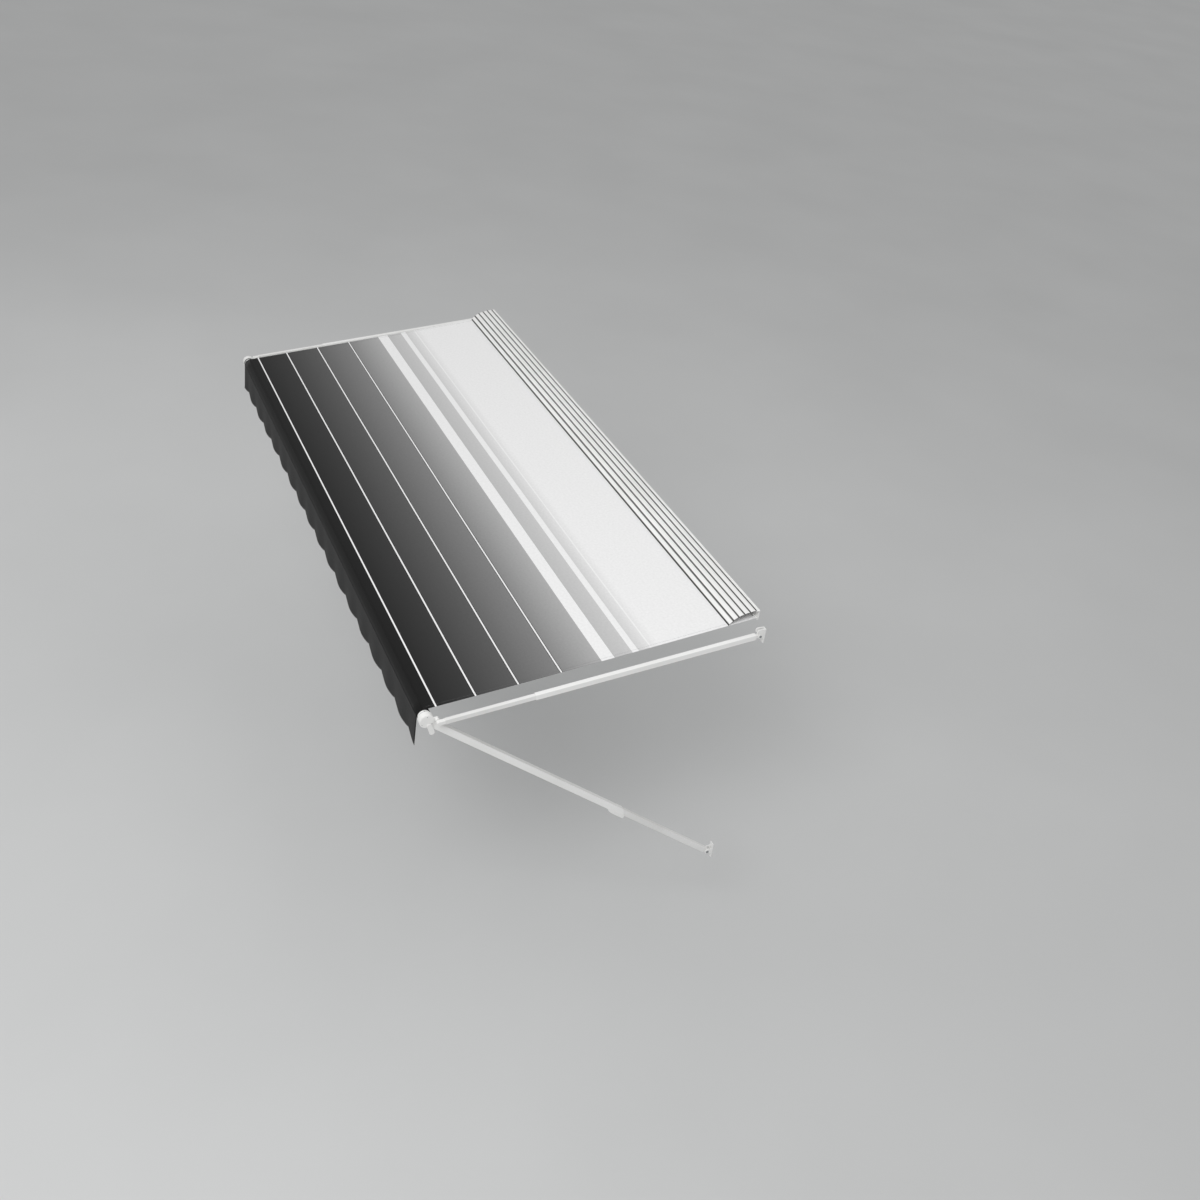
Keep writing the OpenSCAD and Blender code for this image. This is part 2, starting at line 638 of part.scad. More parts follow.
// Lock lever on its shaft, and the pawl that it swings, drawn just clear of the ratchet's teeth
module lock_lever() {
    color(white_paint) at_lock() {
        rod_x(ratchet_in + ratchet_w, lever_in + 1, shaft_r);
        rotate([lever_lean - lock_turn, 0, 0]) along_x(lever_in, lever_in + lever_t)
            translate([0, -lever_drop]) {
                circle(r = lever_r);
                translate([-lever_r, -lever_len]) square([2 * lever_r, lever_len]);
                translate([0, -lever_len]) circle(r = lever_r);
            }
    }
}
module lock_pawl() {
    hub = [for (a = [90 : 15 : 270]) [pawl_hub_r * cos(a), pawl_hub_r * sin(a)]];
    nose = [[9, -1], [12.5, 7], [8.2, 9.1]];
    color(steel) at_lock() along_x(ratchet_in, ratchet_in + ratchet_w) polygon(concat(hub, nose));
}

// Slat of the shield: a crowned strip with a hinge socket at the wall side and a bead at the front
module slat_place(k) {
    translate([0, -shield_off - reach(k), hook_z - fall(k)]) rotate([slat_falls[k], 0, 0]) children();
}
module wedge(a0, a1) {
    polygon([[0, 0], [12 * cos(a0), 12 * sin(a0)], [17 * cos((a0 + a1) / 2), 17 * sin((a0 + a1) / 2)],
        [12 * cos(a1), 12 * sin(a1)]]);
}
module slat(k) {
    start = slat_socket_r - 0.6;
    n = 8;
    function skin(i, side) =
        let (f = i / n, u = start + (slat_w - start) * f)
        [-u, slat_crown * 4 * f * (1 - f) + side * slat_t / 2];
    open_from = k == 0 ? 162 : 130;
    open_to = k == 0 ? 262 : 225;
    color(white_paint) slat_place(k) along_x(-half_cloth, half_cloth) {
        polygon(concat([for (i = [0 : n]) skin(i, 1)], [for (i = [n : -1 : 0]) skin(i, -1)]));
        translate([-slat_w, 0]) circle(r = slat_bead_r);
        difference() {
            circle(r = slat_socket_r);
            circle(r = slat_bead_r + slat_socket_gap);
            mirror([1, 0]) wedge(open_from, open_to);
        }
    }
}
module shield_slat_1() { slat(0); }
module shield_slat_2() { slat(1); }
module shield_slat_3() { slat(2); }
module shield_slat_4() { slat(3); }
module shield_slat_5() { slat(4); }

awning_rail();
rail_screws();
canopy_bead();
right() top_bracket();  // top_bracket_right
left() top_bracket();  // top_bracket_left
right() bottom_bracket();  // bottom_bracket_right
left() bottom_bracket();  // bottom_bracket_left
right() rafter_pin();  // rafter_pin_right
left() rafter_pin();  // rafter_pin_left
right() foot_pin();  // foot_pin_right
left() foot_pin();  // foot_pin_left
shield_slat_1();
shield_slat_2();
shield_slat_3();
shield_slat_4();
shield_slat_5();
canopy();
canopy_wrap();
valance();
roller_tube();
groove_ropes();
right() tube_plug();  // tube_plug_right
left() tube_plug();  // tube_plug_left
rod_bushes();
spring_plugs();
ratchet_wheel();
right() head_casting(true);  // head_casting_right
left() head_casting(false);  // head_casting_left
right() head_cover(true);  // head_cover_right
left() head_cover(false);  // head_cover_left
right() cover_screws();  // cover_screws_right
left() cover_screws();  // cover_screws_left
right() torsion_rod();  // torsion_rod_right
left() torsion_rod();  // torsion_rod_left
right() torsion_spring();  // torsion_spring_right
left() torsion_spring();  // torsion_spring_left
right() outer_arm();  // outer_arm_right
left() outer_arm();  // outer_arm_left
right() inner_arm();  // inner_arm_right
left() inner_arm();  // inner_arm_left
right() arm_foot();  // arm_foot_right
left() arm_foot();  // arm_foot_left
right() lift_handle();  // lift_handle_right
left() lift_handle();  // lift_handle_left
right() handle_pin();  // handle_pin_right
left() handle_pin();  // handle_pin_left
right() rafter_outer();  // rafter_outer_right
left() rafter_outer();  // rafter_outer_left
right() rafter_eye();  // rafter_eye_right
left() rafter_eye();  // rafter_eye_left
right() rafter_inner();  // rafter_inner_right
left() rafter_inner();  // rafter_inner_left
right() rafter_hook();  // rafter_hook_right
left() rafter_hook();  // rafter_hook_left
right() lock_lever();
right() lock_pawl();
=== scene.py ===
import json
import math

import bpy
from mathutils import Matrix, Vector


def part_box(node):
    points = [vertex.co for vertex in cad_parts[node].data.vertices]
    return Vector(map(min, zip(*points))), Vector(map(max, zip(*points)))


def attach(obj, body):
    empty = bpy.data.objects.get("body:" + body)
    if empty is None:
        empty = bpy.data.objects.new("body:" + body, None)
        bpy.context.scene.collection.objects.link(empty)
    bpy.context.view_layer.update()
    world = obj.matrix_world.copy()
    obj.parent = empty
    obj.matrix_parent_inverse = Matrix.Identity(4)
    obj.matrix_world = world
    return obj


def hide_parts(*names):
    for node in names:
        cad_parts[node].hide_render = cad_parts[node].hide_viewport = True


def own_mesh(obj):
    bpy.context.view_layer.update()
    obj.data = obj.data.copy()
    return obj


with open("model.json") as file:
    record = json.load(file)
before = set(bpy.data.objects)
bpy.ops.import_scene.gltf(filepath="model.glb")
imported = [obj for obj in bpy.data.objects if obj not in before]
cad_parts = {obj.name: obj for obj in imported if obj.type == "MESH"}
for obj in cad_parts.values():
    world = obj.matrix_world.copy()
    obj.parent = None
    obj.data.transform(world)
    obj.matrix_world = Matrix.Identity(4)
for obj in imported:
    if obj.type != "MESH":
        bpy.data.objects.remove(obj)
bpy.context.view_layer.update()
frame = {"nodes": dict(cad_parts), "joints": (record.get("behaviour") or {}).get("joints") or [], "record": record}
nodes = frame["nodes"]
record = frame["record"]
scene = bpy.context.scene

# Places and sizes in metres, read off the solids that the soft pieces stand for
bodyJoints = {joint["name"]: joint for joint in frame["joints"]}
rollerAxis = Vector(bodyJoints["roller_turn"]["pos_m"])
wrapLow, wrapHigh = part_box("canopy_wrap")
tubeLow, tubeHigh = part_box("roller_tube")
beadLow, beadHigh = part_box("canopy_bead")
valanceLow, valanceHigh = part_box("valance")
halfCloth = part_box("canopy")[1].x
wrapRadius = (wrapHigh.z - wrapLow.z) / 2
tubeRadius = (tubeHigh.z - tubeLow.z) / 2
slotPoint = (beadLow + beadHigh) / 2


# Colours and nodes
def linearRgb(hexColour):
    parts = [int(hexColour[i:i + 2], 16) / 255 for i in (1, 3, 5)]
    return [p / 12.92 if p <= 0.04045 else ((p + 0.055) / 1.055) ** 2.4 for p in parts] + [1.0]


def grey(hexPair):
    return linearRgb("#" + hexPair * 3)


# Adds one node; stops are the points of a colour ramp
def addNode(tree, kind, settings=None, links=None, stops=None):
    node = tree.nodes.new(kind)
    for key, value in (settings or {}).items():
        if isinstance(key, int) or key in node.inputs:
            node.inputs[key].default_value = value
        else:
            setattr(node, key, value)
    for key, source in (links or {}).items():
        tree.links.new(source, node.inputs[key])
    if stops:
        points = node.color_ramp.elements
        points.remove(points[1])
        points[0].position, points[0].color = stops[0]
        for position, colour in stops[1:]:
            points.new(position).color = colour
    return node


def newMaterial(name):
    material = bpy.data.materials.new(name)
    material.use_nodes = True
    tree = material.node_tree
    tree.nodes.clear()
    shader = addNode(tree, "ShaderNodeBsdfPrincipled")
    addNode(tree, "ShaderNodeOutputMaterial", links={"Surface": shader.outputs["BSDF"]})
    place = addNode(tree, "ShaderNodeTexCoord").outputs["Object"]
    return material, tree, shader, place


# Hard materials
# Painted shade for the gaps between parts: its dark colour and the half width of each line
gapShade = {"colour": "#2e2e2d", "halfWidth": 0.0032}


# Mask of the painted shade: 1 on each line along the rail, fading out over one more half width
def paintedShadeMask(tree, place, lines):
    y = addNode(tree, "ShaderNodeSeparateXYZ", links={"Vector": place}).outputs["Y"]
    half, total = gapShade["halfWidth"], None
    for line in lines:
        away = addNode(tree, "ShaderNodeMath", {"operation": "SUBTRACT", 1: line}, {0: y})
        size = addNode(tree, "ShaderNodeMath", {"operation": "ABSOLUTE"}, {0: away.outputs["Value"]})
        mask = addNode(tree, "ShaderNodeMapRange",
                       {"From Min": half, "From Max": 2 * half, "To Min": 1.0, "To Max": 0.0},
                       {"Value": size.outputs["Value"]}).outputs["Result"]
        if total is not None:
            mask = addNode(tree, "ShaderNodeMath", {"operation": "MAXIMUM"},
                           {0: total, 1: mask}).outputs["Value"]
        total = mask
    return total


# Powder coat over metal: dust in broad patches, a fine orange peel and a thin clear skin
def paintedMetal(name, cleanHex, dustyHex, roughness, peelScale, peelStrength, shadeLines=None):
    material, tree, shader, place = newMaterial(name)
    patches = addNode(tree, "ShaderNodeTexNoise", {"Scale": 1.7, "Detail": 3.0}, {"Vector": place})
    colour = addNode(tree, "ShaderNodeValToRGB", links={"Fac": patches.outputs["Fac"]},
                     stops=[(0.35, linearRgb(cleanHex)), (0.7, linearRgb(dustyHex))]).outputs["Color"]
    # With lines given, painted shade darkens the coat along them
    if shadeLines:
        colour = addNode(tree, "ShaderNodeMix", {"data_type": "RGBA", 7: linearRgb(gapShade["colour"])},
                         {0: paintedShadeMask(tree, place, shadeLines), 6: colour}).outputs[2]
    wear = addNode(tree, "ShaderNodeTexNoise", {"Scale": 22, "Detail": 3.0}, {"Vector": place})
    rough = addNode(tree, "ShaderNodeMapRange",
                    {"From Min": 0.3, "From Max": 0.7,
                     "To Min": roughness - 0.05, "To Max": roughness + 0.07},
                    {"Value": wear.outputs["Fac"]})
    peel = addNode(tree, "ShaderNodeTexNoise", {"Scale": peelScale, "Detail": 2}, {"Vector": place})
    bump = addNode(tree, "ShaderNodeBump", {"Strength": peelStrength, "Distance": 0.0006},
                   {"Height": peel.outputs["Fac"]})
    tree.links.new(colour, shader.inputs["Base Color"])
    tree.links.new(rough.outputs["Result"], shader.inputs["Roughness"])
    tree.links.new(bump.outputs["Normal"], shader.inputs["Normal"])
    shader.inputs["Coat Weight"].default_value = 0.15
    shader.inputs["Coat Roughness"].default_value = 0.3
    return material


# Bare metal with its drawing lines pulled out along one axis
def bareMetal(name, darkHex, lightHex, roughness, stretch):
    material, tree, shader, place = newMaterial(name)
    along = addNode(tree, "ShaderNodeMapping", {"Scale": stretch}, {"Vector": place}).outputs["Vector"]
    drawn = addNode(tree, "ShaderNodeTexNoise", {"Scale": 60, "Detail": 4}, {"Vector": along}).outputs["Fac"]
    tone = addNode(tree, "ShaderNodeValToRGB", links={"Fac": drawn},
                   stops=[(0.3, linearRgb(darkHex)), (0.7, linearRgb(lightHex))])
    rough = addNode(tree, "ShaderNodeMapRange", {"To Min": roughness, "To Max": roughness + 0.15},
                    {"Value": drawn})
    bump = addNode(tree, "ShaderNodeBump", {"Strength": 0.25, "Distance": 0.0003}, {"Height": drawn})
    tree.links.new(tone.outputs["Color"], shader.inputs["Base Color"])
    tree.links.new(rough.outputs["Result"], shader.inputs["Roughness"])
    tree.links.new(bump.outputs["Normal"], shader.inputs["Normal"])
    shader.inputs["Metallic"].default_value = 1.0
    return material


def mouldedNylon(name, darkHex, lightHex):
    material, tree, shader, place = newMaterial(name)
    flow = addNode(tree, "ShaderNodeTexNoise", {"Scale": 30, "Detail": 3.0}, {"Vector": place})
    tone = addNode(tree, "ShaderNodeValToRGB", links={"Fac": flow.outputs["Fac"]},
                   stops=[(0.3, linearRgb(darkHex)), (0.8, linearRgb(lightHex))])
    grain = addNode(tree, "ShaderNodeTexNoise", {"Scale": 900, "Detail": 3.0}, {"Vector": place})
    bump = addNode(tree, "ShaderNodeBump", {"Strength": 0.2, "Distance": 0.0002},
                   {"Height": grain.outputs["Fac"]})
    tree.links.new(tone.outputs["Color"], shader.inputs["Base Color"])
    tree.links.new(bump.outputs["Normal"], shader.inputs["Normal"])
    shader.inputs["Roughness"].default_value = 0.55
    return material


# Cloth materials; flatPlace is the point's place on the cloth laid flat, in metres
threadPitch = 0.0011  # twice the real one, so that the weave shows
waveFactor = 0.314    # a wave texture of scale 1 has a pitch of 0.314 m


# Plain weave in relief over slub shading, matt with a faint sheen
def clothFinish(tree, shader, colour, sheen):
    flat = addNode(tree, "ShaderNodeAttribute", {"attribute_name": "flatPlace"}).outputs["Vector"]
    threads = [addNode(tree, "ShaderNodeTexWave",
                       {"wave_type": "BANDS", "bands_direction": way, "Scale": waveFactor / threadPitch,
                        "Distortion": 0.6, "Detail": 1.0, "Detail Scale": 2.0}, {"Vector": flat})
               for way in ("X", "Y")]
    weave = addNode(tree, "ShaderNodeMath", {"operation": "MULTIPLY"},
                    {0: threads[0].outputs["Fac"], 1: threads[1].outputs["Fac"]}).outputs["Value"]
    slub = addNode(tree, "ShaderNodeTexNoise", {"Scale": 55, "Detail": 2}, {"Vector": flat}).outputs["Fac"]
    shade = addNode(tree, "ShaderNodeValToRGB", links={"Fac": slub},
                    stops=[(0.3, (0.93, 0.93, 0.93, 1)), (0.75, (1, 1, 1, 1))]).outputs["Color"]
    toned = addNode(tree, "ShaderNodeMix", {"data_type": "RGBA", "blend_type": "MULTIPLY", 0: 1.0},
                    {7: shade})
    if hasattr(colour, "node"):
        tree.links.new(colour, toned.inputs[6])
    else:
        toned.inputs[6].default_value = colour
    relief = addNode(tree, "ShaderNodeBump", {"Strength": 0.35, "Distance": 0.0003}, {"Height": weave})
    both = addNode(tree, "ShaderNodeBump", {"Strength": 0.12, "Distance": 0.0006},
                   {"Height": slub, "Normal": relief.outputs["Normal"]})
    tree.links.new(toned.outputs[2], shader.inputs["Base Color"])
    tree.links.new(both.outputs["Normal"], shader.inputs["Normal"])
    for socket, value in (("Roughness", 0.82), ("Specular IOR Level", 0.2),
                          ("Sheen Weight", sheen), ("Sheen Roughness", 0.6)):
        shader.inputs[socket].default_value = value


# Stripes across the canopy, as shares of its run from the roller to the rail
stripeFact = {"thin": [0.0352, 0.1464, 0.2682, 0.394], "plainThin": 0.665,
              "wide": [(0.514, 0.553), (0.608, 0.627)], "half": 0.0023, "edge": 0.0016,
              "ground": [(0.0, "0c"), (0.034, "10"), (0.037, "1e"), (0.145, "34"), (0.148, "40"),
                         (0.266, "58"), (0.270, "64"), (0.392, "80"), (0.396, "88"), (0.512, "b0"),
                         (0.556, "c2"), (0.606, "cc"), (0.629, "d6"), (0.69, "f4"), (1.0, "f5")]}


def bandMask(tree, run, bands):
    total = None
    for start, end in bands:
        mask = addNode(tree, "ShaderNodeMath",
                       {"operation": "COMPARE", 1: (start + end) / 2, 2: (end - start) / 2},
                       {0: run}).outputs["Value"]
        if total is not None:
            mask = addNode(tree, "ShaderNodeMath", {"operation": "MAXIMUM"},
                           {0: total, 1: mask}).outputs["Value"]
        total = mask
    return total


# A fade from charcoal to white in steps, with white stripes between dark edges
def stripedCloth(name):
    material, tree, shader, _ = newMaterial(name)
    half, edge = stripeFact["half"], stripeFact["half"] + stripeFact["edge"]
    whites = [(s - half, s + half) for s in stripeFact["thin"] + [stripeFact["plainThin"]]]
    darks = [(s - edge, s + edge) for s in stripeFact["thin"]]
    run = addNode(tree, "ShaderNodeAttribute", {"attribute_name": "runShare"}).outputs["Fac"]
    colour = addNode(tree, "ShaderNodeValToRGB", links={"Fac": run},
                     stops=[(p, grey(g)) for p, g in stripeFact["ground"]]).outputs["Color"]
    for bands, tone in ((darks, grey("18")), (whites + stripeFact["wide"], grey("f4"))):
        colour = addNode(tree, "ShaderNodeMix", {"data_type": "RGBA", 7: tone},
                         {0: bandMask(tree, run, bands), 6: colour}).outputs[2]
    clothFinish(tree, shader, colour, 0.05)
    return material


def plainCloth(name, hexPair, sheen):
    material, tree, shader, _ = newMaterial(name)
    clothFinish(tree, shader, grey(hexPair), sheen)
    return material


# Twisted or braided strands as slanting bands
def braidedRope(name, darkHex, lightHex):
    material, tree, shader, place = newMaterial(name)
    turned = addNode(tree, "ShaderNodeMapping", {"Rotation": (0.6, 0.4, 0.8)}, {"Vector": place})
    strand = addNode(tree, "ShaderNodeTexWave", {"Scale": 160.0, "Distortion": 1.0},
                     {"Vector": turned.outputs["Vector"]}).outputs["Fac"]
    tone = addNode(tree, "ShaderNodeValToRGB", links={"Fac": strand},
                   stops=[(0.2, linearRgb(darkHex)), (0.8, linearRgb(lightHex))])
    bump = addNode(tree, "ShaderNodeBump", {"Strength": 0.5, "Distance": 0.0006}, {"Height": strand})
    tree.links.new(tone.outputs["Color"], shader.inputs["Base Color"])
    tree.links.new(bump.outputs["Normal"], shader.inputs["Normal"])
    shader.inputs["Roughness"].default_value = 0.9
    return material


finishes = {
    # Extruded aluminium, white polyester powder coat: smooth and half glossy
    "white_paint": paintedMetal("whitePowderCoat", "#f5f5f4", "#eeeeec", 0.34, 900, 0.18),
    # Die castings under the same coat: a coarser skin, a little duller
    "cast_paint": paintedMetal("castWhitePowderCoat", "#f3f3f2", "#e8e8e6", 0.42, 420, 0.35),
    # Inner tubes, the coat rubbed matt by sliding
    "inner_paint": paintedMetal("rubbedWhitePowderCoat", "#f0f0ef", "#e0e0de", 0.48, 700, 0.2),
    # Mill-finish aluminium with its extrusion lines along the tube
    "plain_aluminium": bareMetal("millAluminium", "#b9bcbe", "#d2d4d5", 0.34, (1, 14, 14)),
    # Zinc-plated steel pins and screws, bluish grey
    "zinc_steel": bareMetal("zincPlatedSteel", "#8f9396", "#b4b7b9", 0.3, (3, 9, 9)),
    # Hardened wire, nearly black under its oil
    "spring_steel": bareMetal("oiledSpringSteel", "#2e2f31", "#56585b", 0.32, (1, 8, 8)),
    # Printed acrylic canopy cloth: matt, with sharp stripe edges over a visible weave
    "striped_cloth": stripedCloth("fadedStripeAcrylic"),
    # Solid-dyed acrylic for the wound turns and the valance: nearly black, without gloss
    "dark_cloth": plainCloth("charcoalAcrylic", "11", 0.06),
    # Off-white polyester cord, dull and ribbed
    "polyester_rope": braidedRope("braidedPolyesterCord", "#c9c8c2", "#e9e8e2"),
    # Injection-moulded nylon, black with a fine grain
    "black_nylon": mouldedNylon("blackNylonMoulding", "#0d0d0d", "#191919"),
}
# Polyester tape sewn over the valance's raw edge, lighter than the cloth
bindingTape = plainCloth("ribbedBindingTape", "34", 0.12)
# Bonded thread, grey so that it shows on light and dark cloth
stitchThread = braidedRope("bondedPolyesterThread", "#5a5a5a", "#7c7c7c")

# The slats' coat with painted shade in the gaps along their hinges and under the free edge,
# drawn about twice as wide as the real gaps so that it shows from the camera's distance
slatNodes = [f"shield_slat_{k}" for k in range(1, 6)]
hingeFact = {"socketRadius": 0.0043, "edgeInset": 0.002}
# Places of the painted shade: each hinge gap, then under the last slat's free edge
shadeLines = [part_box(node)[1].y - hingeFact["socketRadius"] for node in slatNodes]
shadeLines.append(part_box(slatNodes[-1])[0].y + hingeFact["edgeInset"])
slatPaint = paintedMetal("slatPowderCoatPaintedShade", "#f5f5f4", "#eeeeec", 0.36, 900, 0.18, shadeLines)
for part in record["subparts"]:
    mesh = nodes[part["node"]].data
    mesh.materials.clear()
    mesh.materials.append(slatPaint if part["node"] in slatNodes else finishes[part["material_slot"]])
print("materials ready")


# Meshes
def meshPiece(name, verts, faces, material, smooth=True, flat=None, run=None):
    mesh = bpy.data.meshes.new(name)
    mesh.from_pydata([tuple(v) for v in verts], [], faces)
    mesh.update()
    if smooth:
        mesh.polygons.foreach_set("use_smooth", [True] * len(mesh.polygons))
    if flat is not None:
        layer = mesh.attributes.new("flatPlace", "FLOAT_VECTOR", "POINT")
        layer.data.foreach_set("vector", [c for point in flat for c in point])
    if run is not None:
        layer = mesh.attributes.new("runShare", "FLOAT", "POINT")
        layer.data.foreach_set("value", run)
    mesh.materials.append(material)
    piece = bpy.data.objects.new(name, mesh)
    scene.collection.objects.link(piece)
    return piece


def dress(piece, slotName, body, *stoodFor):
    if stoodFor:
        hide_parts(*stoodFor)
    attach(piece, body)


def gridFaces(columns, rows):
    step = rows + 1
    return [(i * step + j, (i + 1) * step + j, (i + 1) * step + j + 1, i * step + j + 1)
            for i in range(columns) for j in range(rows)]


def bakeModifiers(piece):
    graph = bpy.context.evaluated_depsgraph_get()
    baked = bpy.data.meshes.new_from_object(piece.evaluated_get(graph))
    piece.modifiers.clear()
    piece.data = baked


def clothSheet(name, verts, faces, finish, flat, thickness, run=None):
    piece = meshPiece(name, verts, faces, finishes[finish], flat=flat, run=run)
    solid = piece.modifiers.new("thickness", "SOLIDIFY")
    solid.thickness = thickness
    solid.offset = 0.0
    bakeModifiers(piece)
    return piece


def tubeAlong(name, path, radius, sides, material):
    verts, faces = [], []
    for index, point in enumerate(path):
        along = (path[min(index + 1, len(path) - 1)] - path[max(index - 1, 0)]).normalized()
        across = along.cross(Vector((0.3, 0.2, 1))).normalized()
        third = along.cross(across)
        for k in range(sides):
            turn = 2 * math.pi * k / sides
            verts.append(point + radius * (math.cos(turn) * across + math.sin(turn) * third))
    for i in range(len(path) - 1):
        for k in range(sides):
            n = (k + 1) % sides
            faces.append((i * sides + k, i * sides + n, (i + 1) * sides + n, (i + 1) * sides + k))
    faces.append(tuple(reversed(range(sides))))
    faces.append(tuple(range((len(path) - 1) * sides, len(path) * sides)))
    return meshPiece(name, verts, faces, material)


# Canopy: one taut sheet that sags a little between its rail and the roller
canopyFact = {"slope": math.radians(7), "run": 2.414, "sag": 0.010, "edgePull": 0.004, "ripple": 0.0012,
              "rippleRate": 3.1, "start": 0.0052, "thickness": 0.0011, "columns": 150, "rows": 90}


# Place of a point at a share of the run, x along the rail, lifted off the straight line
def canopyPoint(x, share, lift=0.0):
    slope, out = canopyFact["slope"], share * canopyFact["run"]
    sag = -4 * canopyFact["sag"] * share * (1 - share)
    pull = canopyFact["edgePull"] * math.sin(math.pi * share) * (abs(x) / halfCloth) ** 6
    ripple = canopyFact["ripple"] * math.sin(x * canopyFact["rippleRate"]) * math.sin(2 * math.pi * share)
    return (x, slotPoint.y - out * math.cos(slope),
            slotPoint.z - out * math.sin(slope) + sag + pull + ripple + lift)


def makeCanopy():
    columns, rows = canopyFact["columns"], canopyFact["rows"]
    start = canopyFact["start"] / canopyFact["run"]
    verts, flat, shares = [], [], []
    for i in range(columns + 1):
        x = -halfCloth + 2 * halfCloth * i / columns
        for j in range(rows + 1):
            share = start + (1 - start) * j / rows
            verts.append(canopyPoint(x, share))
            flat.append((x, share * canopyFact["run"], 0.0))
            shares.append(1 - share)
    return clothSheet("canopyCloth", verts, gridFaces(columns, rows), "striped_cloth", flat,
                      canopyFact["thickness"], shares)


canopyCloth = makeCanopy()
dress(canopyCloth, "striped_cloth", "wall_rail", "canopy")
print("canopy ready")

# Valance: a scalloped drop with a bound hem, hung from the front of the roller
valanceFact = {"scallops": 17, "depth": 0.034, "wave": 0.009, "inset": 0.0008, "thickness": 0.0010,
               "rows": 18, "perLobe": 20}
valanceDrop = valanceHigh.z - valanceLow.z


# Place across one scallop, 0 and 1 at its notches; the cloth ends in mid-scallop
def lobePlace(share):
    return (valanceFact["scallops"] * share + 0.5) % 1.0


def valancePoint(share, down):
    lobe = lobePlace(share)
    rise = 1 - math.sqrt(max(0.0, 1 - (2 * lobe - 1) ** 2))
    bulge = (1 - math.cos(2 * math.pi * lobe)) / 2
    return Vector((-halfCloth + 2 * halfCloth * share,
                   valanceHigh.y - valanceFact["inset"] - valanceFact["wave"] * down * bulge,
                   valanceHigh.z - (valanceDrop - valanceFact["depth"] * rise) * down))


# Columns crowd towards the notches, where the hem turns sharply
def hemStations():
    perLobe, lobes, nearly = valanceFact["perLobe"], valanceFact["scallops"], 1e-6
    shares = [(k - (1 + math.cos(math.pi * i / perLobe)) / 2 + 0.5) / lobes
              for k in range(lobes + 1) for i in range(perLobe)]
    return [0.0] + [s for s in shares if nearly < s < 1 - nearly] + [1.0]


def makeValance(shares):
    rows = valanceFact["rows"]
    verts = [valancePoint(s, j / rows) for s in shares for j in range(rows + 1)]
    flat = [(v.x, v.z, 0.0) for v in verts]
    return clothSheet("valanceCloth", verts, gridFaces(len(shares) - 1, rows), "dark_cloth", flat,
                      valanceFact["thickness"])


# Cross-section of the binding, across and up: a tape folded over the hem
bindingLoop = [(-0.0013, 0.010), (-0.0016, 0.001), (0.0, 0.0), (0.0016, 0.001), (0.0013, 0.010),
               (0.0, 0.0112)]


def makeBinding(shares):
    count, last = len(bindingLoop), len(shares) - 1
    verts, flat, faces = [], [], []
    for share in shares:
        hem = valancePoint(share, 1.0)
        for across, up in bindingLoop:
            verts.append(hem + Vector((0, across, up)))
            flat.append((hem.x, up, 0.0))
    for i in range(last):
        for k in range(count):
            n = (k + 1) % count
            faces.append((i * count + k, (i + 1) * count + k, (i + 1) * count + n, i * count + n))
    faces.append(tuple(reversed(range(count))))
    faces.append(tuple(last * count + k for k in range(count)))
    return meshPiece("valanceBinding", verts, faces, bindingTape, flat=flat)


hemShares = hemStations()
valanceCloth = makeValance(hemShares)
valanceBinding = makeBinding(hemShares)
dress(valanceCloth, "dark_cloth", "valance_drop", "valance")
dress(valanceBinding, "dark_cloth", "valance_drop")
print("valance ready")

# Cloth turns that stay wound on the open roller, as one spiral sheet
wrapFact = {"turns": 2.0, "around": 64, "columns": 54, "lift": 0.0009, "inset": 0.0004, "thickness": 0.0007,
            "length": 0.543}


def makeWrap():
    around, columns = wrapFact["around"], wrapFact["columns"]
    inner, outer = tubeRadius + wrapFact["lift"], wrapRadius - wrapFact["inset"]
    steps = int(wrapFact["turns"] * around)
    verts, flat = [], []
    for i in range(columns + 1):
        x = -halfCloth + 2 * halfCloth * i / columns
        for j in range(steps + 1):
            turn = 2 * math.pi * j / around
            radius = inner + (outer - inner) * j / steps
            verts.append((x, rollerAxis.y - radius * math.sin(turn), rollerAxis.z + radius * math.cos(turn)))
            flat.append((x, radius * turn, 0.0))
    return clothSheet("woundCloth", verts, gridFaces(columns, steps), "dark_cloth", flat,
                      wrapFact["thickness"])


woundCloth = makeWrap()
dress(woundCloth, "dark_cloth", "roller", "canopy_wrap")

# Cords that hold the cloth: one in the rail's slot, two in grooves of the roller
cordFact = {"stations": 60, "sides": 12, "grooveOffset": 0.036, "grooveRadius": 0.0031,
            "grooveTurns": (0, 120)}


def makeCord(name, y, z, radius, body, *stoodFor):
    count = cordFact["stations"]
    path = [Vector((-halfCloth + 2 * halfCloth * i / count, y, z)) for i in range(count + 1)]
    piece = tubeAlong(name, path, radius, cordFact["sides"], finishes["polyester_rope"])
    dress(piece, "polyester_rope", body, *stoodFor)


makeCord("railHemCord", slotPoint.y, slotPoint.z, (beadHigh.z - beadLow.z) / 2, "wall_rail", "canopy_bead")
for index, angle in enumerate(cordFact["grooveTurns"]):
    turn = math.radians(angle)
    makeCord(f"grooveCord{index + 1}", rollerAxis.y - cordFact["grooveOffset"] * math.sin(turn),
             rollerAxis.z + cordFact["grooveOffset"] * math.cos(turn), cordFact["grooveRadius"], "roller",
             *(["groove_ropes"] if index == 0 else []))
print("cords ready")

# Torsion springs: nearly close-wound coils round each rod
coilFact = {"wire": 0.0026, "pitch": 0.0062, "perTurn": 18, "sides": 8}


